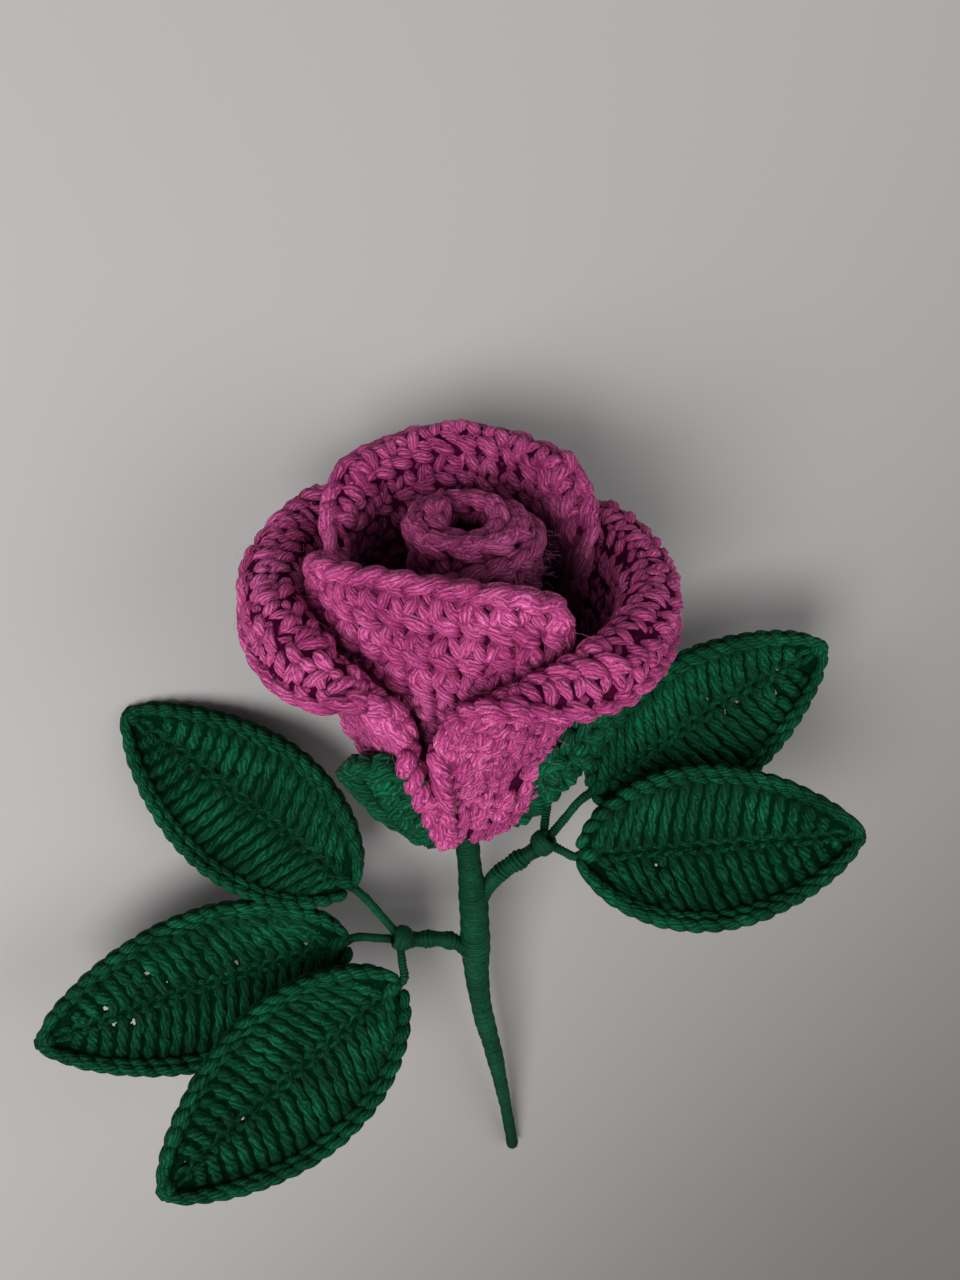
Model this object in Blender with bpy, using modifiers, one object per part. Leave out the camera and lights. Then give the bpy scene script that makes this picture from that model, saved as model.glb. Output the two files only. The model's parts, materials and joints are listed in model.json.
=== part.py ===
"""A crocheted rose on a wrapped wire stem, lying on its back as it comes to rest on a table.

The flower is drawn upright first: +Z up along the stem, +X to the right and +Y to the back, with z = 0
where the stem enters the bloom. An empty that carries every piece then lays it down on its own hull.
"""

import math

import bmesh
import bpy
import numpy as np
from mathutils import Matrix, Vector
from mathutils.bvhtree import BVHTree

MM = 0.001

# Yarn and wire
PETAL_PLY = 3.4 * MM
LEAF_PLY = 2.4 * MM
CALYX_PLY = 2.6 * MM
SEAM = 0.3 * MM
NEST = 0.6 * MM
STEM_WIRE_RADIUS = 0.8 * MM
LEAF_WIRE_RADIUS = 0.35 * MM
WIRE_FIT = 0.3 * MM

# Bloom: the cup that the petals follow, from the stem up, as radius and height of the outer layer's middle.
# It is drawn for layers 4 mm apart, and thicker yarn pushes it out by all the layers that are within it.
# Row crowding above 1 puts more of a petal's rows near its rim, where it rolls over.
CUP = [(6.6, 3.6), (9.2, 5.0), (12.4, 10.0), (17.8, 20.0), (22.6, 31.0), (26.6, 43.0), (28.8, 52.0),
       (29.6, 60.0), (29.8, 74.0)]
BLOOM_WIDTH_SCALE = 1.0
BLOOM_HEIGHT_SCALE = 1.0
OUTER_ROLL_RADIUS = 4.2 * MM
INNER_ROLL_RADIUS = 2.8 * MM
LAYER_STEP = PETAL_PLY + NEST
DRAWN_STEP = 4.0 * MM
ROW_CROWDING = 1.5

# Bud: a strip rolled up round the top of the wire, and one petal wrapped round its right side
BUD_AXIS = Vector((1.5, 0.0, 0.0)) * MM
BUD_FOOT = 33.0 * MM
BUD_TOP = 70.0 * MM
BUD_HOLE_RADIUS = 2.1 * MM
BUD_TURNS = 1.3
PETALS_ROUND_BUD = 4
LAYERS_WITHIN = PETALS_ROUND_BUD + BUD_TURNS
BUD_START_ANGLE = 150.0
BUD_SPIRAL_DROP = 2.0 * MM
BUD_TAPER = 0.6 * MM
WRAP_FOOT = 43.0 * MM
WRAP_CROWN = 65.5 * MM
WRAP_CORNER_DROP = 6.0 * MM
WRAP_START_ANGLE = -128.0
WRAP_ANGLE = 215.0

# Calyx: one ring under the bloom with three wide sepals, each the azimuth of its tip in degrees, the tip's
# height in millimetres, and the angles that it falls away over before and after the tip
SEPALS = [(335.0, 42.0, 38.0, 47.0), (95.0, 28.0, 50.0, 50.0), (238.0, 36.0, 55.0, 24.0)]
SEPAL_ROUNDNESS = 0.8
CALYX_RIM = 4.0 * MM

# Stem: route of the main wire and radius of its yarn wrap, from the bloom down to the cut end
STEM_ROUTE = [(0.0, 0.0, 30.0), (0.0, 0.0, 8.2), (0.0, 0.0, 0.0), (0.9, 0.0, -15.5), (1.9, 0.0, -30.0),
              (2.3, 0.0, -46.0), (2.7, 0.0, -57.0), (4.1, 0.0, -71.0), (7.0, 0.0, -88.0),
              (10.2, 0.0, -111.0), (12.2, 0.0, -128.0), (12.7, 0.0, -132.5)]
STEM_SCALE = 1.0
WRAP_TOP = 1
WRAP_RADII = [2.4, 2.5, 2.6, 3.3, 3.4, 2.8, 2.5, 2.2, 1.6, 1.55, 1.8]
WIRE_STUB = 0.8 * MM

# Branches: where each leaves the stem and where its three leaf stalks are bound
BRANCH_RADIUS = 1.9 * MM
BINDING_RADIUS = 3.0 * MM
STALK_RADIUS = 0.9 * MM
LEFT_JOINT = Vector((2.3, 0.0, -45.5)) * MM
LEFT_NODE = Vector((-14.7, -4.0, -36.9)) * MM
LEFT_BOW = Vector((0.0, 0.0, 1.6)) * MM
RIGHT_JOINT = Vector((1.9, 0.0, -30.0)) * MM
RIGHT_NODE = Vector((17.3, 2.0, -12.2)) * MM
RIGHT_BOW = Vector((-1.2, 0.0, 1.2)) * MM

# Leaves: stalk end, tip, the turn about the midrib away from facing the viewer, and the way that the leaf
# moves from its neighbours when all are made wider. The back leaf stands behind the bloom by a share of its
# own width.
LEAF_WIDTH = 33.0 * MM
DRAWN_LEAF_WIDTH = 33.0 * MM
FOOT_SHARE = 0.6
LEAF_LENGTH_SCALE = 1.0
LEAF_CUP = 5.0 * MM
LEAF_BOW = 3.0 * MM
LEAF_FOOT_WIDTH = 3.4 * MM
LEAF_TIP_WIDTH = 2.4 * MM
VIEWER = Vector((0.0, -0.829, 0.559))
BACK_LEAF_STANDOFF = 0.185
BACK_LEAF_RISE_DEPTH = 29.5
BLOOM_BACK = (CUP[-1][0] * BLOOM_WIDTH_SCALE * MM + 2 * OUTER_ROLL_RADIUS + PETAL_PLY / 2
              + LAYERS_WITHIN * (LAYER_STEP - DRAWN_STEP))
BACK_LEAF_DEPTH = (BLOOM_BACK + BACK_LEAF_STANDOFF * LEAF_WIDTH) / MM
LEAVES = {
    "left_upper": (LEFT_NODE, (-26.5, 1.9, -25.6), (-74.0, 18.0, 11.0), 0.0, (0.0, 0.3, 1.0)),
    "left_middle": (LEFT_NODE, (-27.8, -4.3, -37.5), (-91.5, -24.5, -45.5), 0.0, (0.0, 0.0, 0.0)),
    "left_lower": (LEFT_NODE, (-15.6, -12.2, -43.0), (-61.0, -49.0, -59.5), 0.0, (0.4, -0.6, -0.8)),
    "right_upper": (RIGHT_NODE, (28.9, 10.3, -4.2), (80.0, 30.0, 21.0), 15.0, (0.0, 0.6, 0.8)),
    "right_lower": (RIGHT_NODE, (25.9, 0.2, -14.4), (84.0, -2.0, -5.5), -12.0, (0.0, -0.4, -0.4)),
    "right_back": (RIGHT_NODE, (19.0, BACK_LEAF_DEPTH - BACK_LEAF_RISE_DEPTH, -2.0),
                   (18.0, BACK_LEAF_DEPTH, 50.0), 0.0, (0.0, 0.0, 0.0)),
}

MAGENTA = (0.43, 0.07, 0.27, 1.0)
GREEN = (0.004, 0.10, 0.045, 1.0)
STEEL = (0.55, 0.55, 0.56, 1.0)


def clear_scene():
    for old in list(bpy.data.objects):
        bpy.data.objects.remove(old, do_unlink=True)


def finish(name, colour, roughness, metallic=0.0):
    material = bpy.data.materials.new(name)
    material.use_nodes = True
    shader = material.node_tree.nodes["Principled BSDF"]
    shader.inputs["Base Color"].default_value = colour
    shader.inputs["Roughness"].default_value = roughness
    shader.inputs["Metallic"].default_value = metallic
    return material


def add_piece(name, bm, material):
    """Names the shape, gives it its own material, and puts it in the rose's collection."""
    bmesh.ops.recalc_face_normals(bm, faces=bm.faces)
    mesh = bpy.data.meshes.new(name)
    bm.to_mesh(mesh)
    bm.free()
    mesh.materials.append(material.copy())
    mesh.shade_smooth()
    mesh.set_sharp_from_angle(angle=math.radians(50))
    piece = bpy.data.objects.new(name, mesh)
    rose.objects.link(piece)
    piece.parent = carrier
    return piece


def thicken(piece, ply):
    """Gives an open sheet the thickness of its yarn, half to each side."""
    solid = piece.modifiers.new("Yarn thickness", "SOLIDIFY")
    solid.thickness = ply
    solid.offset = 0.0
    solid.use_even_offset = True
    return piece


def spline(points, count):
    """Points at even parameter steps on a smooth curve through the given points."""
    given = [Vector(p) for p in points]
    padded = [given[0] * 2 - given[1]] + given + [given[-1] * 2 - given[-2]]
    smooth = []
    for step in range(count):
        along = step * (len(given) - 1) / (count - 1)
        span = min(int(along), len(given) - 2)
        a, b, c, d = padded[span:span + 4]
        t = along - span
        smooth.append(0.5 * (2 * b + (c - a) * t + (2 * a - 5 * b + 4 * c - d) * t ** 2
                             + (3 * b - 3 * c + d - a) * t ** 3))
    return smooth


def frames_along(route):
    """A frame at each point of a route, its Z along the route, turned as little as can be."""
    forward = (route[1] - route[0]).normalized()
    side = forward.orthogonal().normalized()
    frames = []
    for i, point in enumerate(route):
        ahead = (route[min(i + 1, len(route) - 1)] - route[max(i - 1, 0)]).normalized()
        side = forward.rotation_difference(ahead) @ side
        forward = ahead
        turn = Matrix((side, forward.cross(side), forward)).transposed().to_4x4()
        frames.append(Matrix.Translation(point) @ turn)
    return frames


def tube(name, route, radii, material, bore=None, sides=10):
    """A round bar along a route or, with a bore, a sleeve that a wire of that radius and a fit goes through."""
    bm = bmesh.new()
    frames = frames_along(route)
    rings = [(frame, radius) for frame, radius in zip(frames, radii)]
    if bore:
        rings += [(frame, bore + WIRE_FIT) for frame in reversed(frames)]
    loops = [bmesh.ops.create_circle(bm, segments=sides, radius=r, matrix=frame)["verts"] for frame, r in rings]
    pairs = list(zip(loops, loops[1:]))
    if bore:
        pairs.append((loops[-1], loops[0]))
    for near, far in pairs:
        for i in range(sides):
            j = (i + 1) % sides
            bm.faces.new((near[i], near[j], far[j], far[i]))
    if not bore:
        bm.faces.new(loops[0])
        bm.faces.new(loops[-1])
    return add_piece(name, bm, material)


def layer(step):
    """The cup's profile moved inwards by a number of layers (outwards if negative): arrays of r, z and length."""
    outline = np.array([p[:] for p in spline([(r * BLOOM_WIDTH_SCALE * MM, z * BLOOM_HEIGHT_SCALE * MM, 0.0)
                                              for r, z in CUP], 160)])[:, :2]
    along = np.gradient(outline, axis=0)
    along /= np.linalg.norm(along, axis=1)[:, None]
    inwards = np.stack([-along[:, 1], along[:, 0]], axis=1)
    moved = outline + inwards * (step - LAYERS_WITHIN * (LAYER_STEP - DRAWN_STEP))
    length = np.concatenate([[0.0], np.cumsum(np.linalg.norm(np.diff(moved, axis=0), axis=1))])
    return moved[:, 0], moved[:, 1], length


def between(stations, azimuth, column):
    """The value of one column of a petal's stations at an azimuth, in a straight line between stations."""
    angles = [s[0] for s in stations]
    return float(np.interp(azimuth, angles, [s[column] for s in stations]))


def petal_point(profile, stations, roll_radius, flatten, across, along):
    """A point of a petal: up the cup to the crest height, then over the rolled rim and down outside."""
    radii, heights, lengths = profile
    azimuth = stations[0][0] + (stations[-1][0] - stations[0][0]) * across
    crest = between(stations, azimuth, 1) * BLOOM_HEIGHT_SCALE * MM
    rim = between(stations, azimuth, 2) * MM
    wall = float(np.interp(crest, heights, lengths))
    run = (1 - (1 - along) ** ROW_CROWDING) * (wall + rim)
    radius = float(np.interp(min(run, wall), lengths, radii))
    height = float(np.interp(min(run, wall), lengths, heights))
    past = run - wall
    if past > 0:
        turn = min(past / roll_radius, math.pi)
        radius += roll_radius * (1 - math.cos(turn))
        height += roll_radius * math.sin(turn) - max(past - math.pi * roll_radius, 0.0)
    radius *= 1 - flatten * math.sin(math.pi * across) ** 2 * along ** 2
    angle = math.radians(azimuth)
    return Vector((radius * math.cos(angle), radius * math.sin(angle), height))


def petal(name, layers_in, stations, roll_radius=OUTER_ROLL_RADIUS, flatten=0.0, columns=14, rows=13):
    """A crocheted petal: a flat panel curved round the cup, its rim rolled over outwards."""
    bm = bmesh.new()
    bmesh.ops.create_grid(bm, x_segments=columns, y_segments=rows, size=0.5)
    profile = layer(layers_in * LAYER_STEP)
    for corner in bm.verts:
        across, along = corner.co.x + 0.5, corner.co.y + 0.5
        corner.co = petal_point(profile, stations, roll_radius, flatten, across, along)
    return thicken(add_piece(name, bm, petal_yarn), PETAL_PLY)


def make_bud():
    """The rolled strip in the middle, open down its axis, and the petal that wraps it on the right."""
    inner = BUD_HOLE_RADIUS + PETAL_PLY / 2
    bm = bmesh.new()
    bmesh.ops.create_grid(bm, x_segments=30, y_segments=4, size=0.5)
    for corner in bm.verts:
        turns, up = (corner.co.x + 0.5) * BUD_TURNS, corner.co.y + 0.5
        angle = math.radians(BUD_START_ANGLE) + turns * 2 * math.pi
        radius = inner + turns * LAYER_STEP + BUD_TAPER * (up - 1)
        height = BLOOM_HEIGHT_SCALE * (BUD_FOOT + up * (BUD_TOP - BUD_FOOT - turns * BUD_SPIRAL_DROP))
        corner.co = BUD_AXIS + Vector((radius * math.cos(angle), radius * math.sin(angle), height))
    thicken(add_piece("bud_petal", bm, petal_yarn), PETAL_PLY)

    outer = inner + (BUD_TURNS + 1) * LAYER_STEP
    bm = bmesh.new()
    bmesh.ops.create_grid(bm, x_segments=14, y_segments=5, size=0.5)
    for corner in bm.verts:
        across, up = corner.co.x + 0.5, corner.co.y + 0.5
        angle = math.radians(WRAP_START_ANGLE + WRAP_ANGLE * across)
        radius = outer + BUD_TAPER * (up - 1)
        crown = WRAP_CROWN - WRAP_CORNER_DROP * abs(2 * across - 1) ** 3
        height = BLOOM_HEIGHT_SCALE * (WRAP_FOOT + up * (crown - WRAP_FOOT))
        corner.co = BUD_AXIS + Vector((radius * math.cos(angle), radius * math.sin(angle), height))
    thicken(add_piece("bud_wrap_petal", bm, petal_yarn), PETAL_PLY)


def make_petals():
    """Each row of stations is azimuth in degrees, crest height and length of rolled rim in millimetres."""
    petal("outer_petal_right", 0, [(-98, 39.5, 0), (-92, 43.0, 3), (-82, 46.5, 7), (-66, 51.0, 13),
                                   (-45, 54.0, 18), (0, 55.0, 19), (35, 56.5, 16), (50, 52.0, 6)])
    petal("outer_petal_left", 0, [(130, 54.0, 6), (142, 59.5, 13), (165, 58.0, 18), (205, 56.5, 19),
                                  (222, 53.5, 17), (238, 49.0, 12), (250, 44.5, 6), (253.5, 40.0, 0)])
    petal("outer_petal_back", 1, [(37, 42.0, 0), (55, 48.0, 0), (66, 52.0, 8), (90, 54.0, 14),
                                  (114, 52.0, 8), (125, 48.0, 0), (143, 42.0, 0)], rows=11)
    petal("inner_petal_front", 1, [(197, 60.0, 0), (204, 64.5, 0), (240, 68.5, 0), (262, 69.5, 0),
                                   (290, 68.5, 0), (306, 65.5, 0), (312, 60.0, 0)], flatten=0.15, rows=9)
    petal("inner_petal_back", 2, [(3, 55.0, 2), (13, 61.5, 5), (45, 69.0, 8), (92, 72.5, 9),
                                  (140, 69.0, 8), (172, 61.5, 5), (183, 55.0, 2)],
          roll_radius=INNER_ROLL_RADIUS, rows=12)


def make_calyx():
    """One green ring round the stem, whose three sepals stand up along the outer petals."""
    radii, heights, lengths = layer(-(PETAL_PLY + CALYX_PLY) / 2 - NEST)
    hole = WRAP_RADII[1] * MM + SEAM + CALYX_PLY / 4
    columns, rows = 60, 8
    bm = bmesh.new()
    loops = []
    for row in range(rows + 1):
        loop = bmesh.ops.create_circle(bm, segments=columns, radius=1.0)["verts"]
        for corner in loop:
            azimuth = math.degrees(math.atan2(corner.co.y, corner.co.x))
            top = CALYX_RIM
            for centre, tip, before, after in SEPALS:
                off = (azimuth - centre + 180) % 360 - 180
                off /= after if off > 0 else before
                top += (tip * BLOOM_HEIGHT_SCALE * MM - CALYX_RIM) * max(0.0, 1 - off ** 2) ** SEPAL_ROUNDNESS
            run = (row - 1) / (rows - 1) * float(np.interp(top, heights, lengths))
            radius = float(np.interp(run, lengths, radii)) if row else hole
            height = float(np.interp(run, lengths, heights)) if row else heights[0]
            angle = math.radians(azimuth)
            corner.co = (radius * math.cos(angle), radius * math.sin(angle), height)
        loops.append(loop)
    for lower, upper in zip(loops, loops[1:]):
        for i in range(columns):
            j = (i + 1) % columns
            bm.faces.new((lower[i], lower[j], upper[j], upper[i]))
    thicken(add_piece("calyx", bm, leaf_yarn), CALYX_PLY)


def make_stem():
    """The main wire, and the yarn wound round it from inside the bloom to near the cut end."""
    route = [Vector(p) * MM for p in STEM_ROUTE]
    for point in route:
        if point.z < 0:
            point.z *= STEM_SCALE
    wrapped = route[WRAP_TOP:]
    ahead = (route[-1] - route[-2]).normalized()
    tube("stem_wire", spline(route[:-1] + [route[-1] + ahead * WIRE_STUB], 24), [STEM_WIRE_RADIUS] * 24,
         wire, sides=8)
    fine = spline(wrapped, 22)
    spread = [v.x * MM for v in spline([(r, 0.0, 0.0) for r in WRAP_RADII], 22)]
    tube("stem_wrap", fine, spread, leaf_yarn, bore=STEM_WIRE_RADIUS, sides=12)
    cutter = tube("stem_clearance", fine, [radius + SEAM for radius in spread], leaf_yarn, sides=12)
    rose.objects.unlink(cutter)
    cutters.objects.link(cutter)
    cutter.hide_render = True
    cutter.display_type = "WIRE"
    return cutter


def make_branch(side, joint, node, bow):
    """A wire out of the stem to the binding of three leaf stalks, wound with yarn, and the binding itself."""
    end = node - (node - joint).normalized() * (BINDING_RADIUS + SEAM)
    route = spline([joint, (joint + end) / 2 + bow, end], 9)
    swell = [BRANCH_RADIUS * (1 + 0.08 * math.sin(2.4 * i)) for i in range(9)]
    for piece in (tube(side + "_branch_wrap", route, swell, leaf_yarn, bore=STEM_WIRE_RADIUS),
                  tube(side + "_branch_wire", route, [STEM_WIRE_RADIUS] * 9, wire, sides=6)):
        saddle = piece.modifiers.new("Saddle on the stem", "BOOLEAN")
        saddle.object = stem_cutter
        saddle.operation = "DIFFERENCE"
    bm = bmesh.new()
    bmesh.ops.create_uvsphere(bm, u_segments=12, v_segments=8, radius=BINDING_RADIUS)
    bmesh.ops.translate(bm, verts=bm.verts, vec=node)
    add_piece(side + "_binding", bm, leaf_yarn)


def leaf_point(foot, tip, side, face, along, across):
    """A point of a leaf: across runs from -1 to 1 over the width, along from the stalk to the tip."""
    swell = math.sin(math.pi * min(max(along, 0.0), 1.0) ** 0.85) ** 0.72
    ends = LEAF_FOOT_WIDTH + (LEAF_TIP_WIDTH - LEAF_FOOT_WIDTH) * along
    half = (ends + (LEAF_WIDTH - ends) * swell) / 2
    lift = LEAF_CUP * swell * across ** 2 - LEAF_BOW * math.sin(math.pi * along)
    return foot.lerp(tip, along) + side * (half * across) + face * lift


def make_leaf(name, node, foot, tip, turn, apart):
    """A leaf blade, cupped along its midrib, with a wrapped wire stalk from the binding to its foot."""
    room = Vector(apart) * (LEAF_WIDTH - DRAWN_LEAF_WIDTH)
    foot, tip = Vector(foot) * MM + room * FOOT_SHARE, Vector(tip) * MM + room
    tip = foot + (tip - foot) * LEAF_LENGTH_SCALE
    midrib = (tip - foot).normalized()
    side = midrib.cross(VIEWER).normalized()
    side.rotate(Matrix.Rotation(math.radians(turn), 3, midrib))
    face = side.cross(midrib)
    bm = bmesh.new()
    bmesh.ops.create_grid(bm, x_segments=12, y_segments=6, size=0.5)
    for corner in bm.verts:
        corner.co = leaf_point(foot, tip, side, face, corner.co.x + 0.5, corner.co.y * 2)
    thicken(add_piece("leaf_" + name, bm, leaf_yarn), LEAF_PLY)

    entry = (leaf_point(foot, tip, side, face, 0.05, 0) - foot).normalized()
    start = node + (foot - node).normalized() * (BINDING_RADIUS + SEAM)
    end = foot - entry * SEAM
    reach = (end - start).length / 3
    route = spline([start, start.lerp(end - entry * reach, 0.5), end - entry * reach, end], 7)
    tube("stalk_" + name, route, [STALK_RADIUS] * 7, leaf_yarn, bore=LEAF_WIRE_RADIUS, sides=8)
    tube("stalk_wire_" + name, route, [LEAF_WIRE_RADIUS] * 7, wire, sides=6)


def all_corners():
    """Corners of every finished piece, and the centre of the whole by volume."""
    bpy.context.view_layer.update()
    graph = bpy.context.evaluated_depsgraph_get()
    corners, moment, total = [], Vector((0, 0, 0)), 0.0
    for piece in rose.objects:
        if piece.type != "MESH":
            continue
        mesh = piece.evaluated_get(graph).to_mesh()
        mesh.calc_loop_triangles()
        for triangle in mesh.loop_triangles:
            a, b, c = (mesh.vertices[i].co for i in triangle.vertices)
            volume = a.dot(b.cross(c)) / 6
            moment += (a + b + c) / 4 * volume
            total += volume
        corners += [v.co.copy() for v in mesh.vertices]
        piece.evaluated_get(graph).to_mesh_clear()
    return corners, moment / total


def lie_down():
    """Turns the rose onto the face of its hull that it comes to rest on when it is laid on its back."""
    corners, centre = all_corners()
    hull = bmesh.new()
    for corner in corners:
        hull.verts.new(corner)
    made = bmesh.ops.convex_hull(hull, input=hull.verts)
    bmesh.ops.delete(hull, geom=list({v for v in made["geom_interior"] if isinstance(v, bmesh.types.BMVert)}),
                     context="VERTS")
    bmesh.ops.recalc_face_normals(hull, faces=hull.faces)
    sides = BVHTree.FromBMesh(hull)
    down, rest = Vector((0, 1, 0)), None
    for _ in range(40):
        _, normal, index, _ = sides.ray_cast(centre, down)
        if index == rest:
            break
        down, rest = normal.copy(), index
    hull.free()
    stem = Vector((0, 0, 1)) - down * down.z
    turn = Matrix((stem.cross(-down).normalized(), stem.normalized(), -down)).to_4x4()
    laid = [turn @ corner for corner in corners]
    lows = [min(c[k] for c in laid) for k in range(3)]
    highs = [max(c[k] for c in laid) for k in range(3)]
    seat = Vector(((lows[0] + highs[0]) / 2, (lows[1] + highs[1]) / 2, lows[2]))
    carrier.matrix_world = Matrix.Translation(-seat) @ turn


clear_scene()
rose = bpy.data.collections.new("crocheted_rose")
bpy.context.scene.collection.children.link(rose)
cutters = bpy.data.collections.new("cutters")
bpy.context.scene.collection.children.link(cutters)
carrier = bpy.data.objects.new("carrier", None)
rose.objects.link(carrier)
petal_yarn = finish("Magenta yarn", MAGENTA, 0.75)
leaf_yarn = finish("Green yarn", GREEN, 0.8)
wire = finish("Steel wire", STEEL, 0.35, metallic=1.0)

make_bud()
make_petals()
make_calyx()
stem_cutter = make_stem()
make_branch("left", LEFT_JOINT, LEFT_NODE, LEFT_BOW)
make_branch("right", RIGHT_JOINT, RIGHT_NODE, RIGHT_BOW)
for leaf_name, leaf_sizes in LEAVES.items():
    make_leaf(leaf_name, *leaf_sizes)
lie_down()
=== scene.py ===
"""A crocheted rose lying on a pale table: magenta petals, a green calyx and leaves, and a wire stem wound
with yarn."""
import json
import math

import bmesh
import bpy
import numpy as np
from mathutils import Matrix, Vector


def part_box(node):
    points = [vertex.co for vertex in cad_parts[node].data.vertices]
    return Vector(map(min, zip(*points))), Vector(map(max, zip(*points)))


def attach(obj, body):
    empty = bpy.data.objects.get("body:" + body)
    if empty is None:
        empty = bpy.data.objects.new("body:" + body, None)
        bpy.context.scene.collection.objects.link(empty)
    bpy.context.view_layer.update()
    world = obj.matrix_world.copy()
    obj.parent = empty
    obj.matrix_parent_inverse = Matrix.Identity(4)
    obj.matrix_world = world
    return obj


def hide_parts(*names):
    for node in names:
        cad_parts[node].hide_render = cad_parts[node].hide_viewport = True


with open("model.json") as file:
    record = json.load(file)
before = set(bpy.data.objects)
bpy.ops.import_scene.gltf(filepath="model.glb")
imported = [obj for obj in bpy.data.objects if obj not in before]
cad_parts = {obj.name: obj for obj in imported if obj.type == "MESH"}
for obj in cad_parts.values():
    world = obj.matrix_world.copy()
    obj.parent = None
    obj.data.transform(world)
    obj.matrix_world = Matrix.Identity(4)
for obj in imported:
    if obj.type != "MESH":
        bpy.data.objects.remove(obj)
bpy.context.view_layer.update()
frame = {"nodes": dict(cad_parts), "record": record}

MM = 0.001
chance = np.random.default_rng(11)

# The rose lies on its back on the table. Its pieces are drawn upright in millimetres, +Z up the stem from
# where it enters the bloom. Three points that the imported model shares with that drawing, its two knots and
# the cut end of its wire, say how it has been laid down.
LEFT_NODE = (-14.7, -4.0, -36.9)
RIGHT_NODE = (17.3, 2.0, -12.2)
STEM_END = (12.788, 0.0, -133.295)


def middle(node):
    low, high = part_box(node)
    return (Vector(low) + Vector(high)) / 2


def triad(a, b, c):
    """A frame at the first of three points, as a 4x4 matrix."""
    a, b, c = Vector(a), Vector(b), Vector(c)
    x = (b - a).normalized()
    z = x.cross(c - a).normalized()
    return Matrix.Translation(a) @ Matrix((x, z.cross(x), z)).transposed().to_4x4()


cut_end = next(m for m in frame["record"]["mounts"] if m["name"] == "stem_end")["pos_m"]
drawn = triad(*(Vector(p) * MM for p in (LEFT_NODE, RIGHT_NODE, STEM_END)))
laid = triad(middle("left_binding"), middle("right_binding"), cut_end) @ drawn.inverted()
turn_down = np.array(laid.to_3x3())
shift_down = np.array(laid.translation)


def lay(points):
    """Upright points in millimetres, as places on the table in metres."""
    return np.asarray(points, float) @ turn_down.T * MM + shift_down


# The camera looks down on the bloom from the front, close up, with a wide lens. Its place and its tilt are
# given in the upright drawing.
CAMERA_PLACE = Vector((3.34, -149.12, 143.93)) * MM
CAMERA_DOWN = math.radians(34)
CAMERA_LENS, SENSOR_WIDTH = 27.0, 36.0
look = Matrix(((1, 0, 0), (0, math.sin(CAMERA_DOWN), math.cos(CAMERA_DOWN)),
               (0, -math.cos(CAMERA_DOWN), math.sin(CAMERA_DOWN)))).transposed().to_4x4()
camera = bpy.data.objects.new("camera", bpy.data.cameras.new("camera"))
bpy.context.scene.collection.objects.link(camera)
camera.data.lens = CAMERA_LENS
camera.data.sensor_width = SENSOR_WIDTH
camera.data.clip_start = 0.01
camera.matrix_world = laid @ Matrix.Translation(CAMERA_PLACE) @ look
bpy.context.scene.camera = camera


# Yarn: soft and loosely spun, so a strand shows its fibres as streaks that lean a little round it, with
# painted highlights and painted shade along them. Each strand is a curve whose map runs along it from 0 to 1
# and once round it, with painted shade darkest where it tucks under.
WANDER_SCALE, PATCH_SCALE, FIBRE_SCALE, FLUFF_SCALE = 330.0, 120.0, 2.4, 900.0
WANDER_TURN = 0.35
FIBRE_ROUND, FIBRE_ALONG, FIBRE_DRIFT = 2.1, 1.6, 5.0
FIBRE_TONE, PLY_TONE, PATCH_TONE, MIDDLE_TONE = 2.6, 0.3, 0.7, 0.35
TUCK_SHADE, TUCK_POWER = 0.8, 0.55
FIBRE_RELIEF, PLY_RELIEF = 0.75, 0.35

# Painted shade down in the bloom's cavity: where it lies, in metres up from the bloom's foot and out from its
# axis, and how sharply it ends.
CAVITY_AXIS = (1.5, 0.0, 0.0)
CAVITY_TOP, CAVITY_FLOOR, CAVITY_REACH = 0.06444, 0.035, 0.02229
TOP_EDGE, FLOOR_EDGE, REACH_EDGE = 180.0, 200.0, 700.0
CAVITY_SHADE = 0.2


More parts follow.
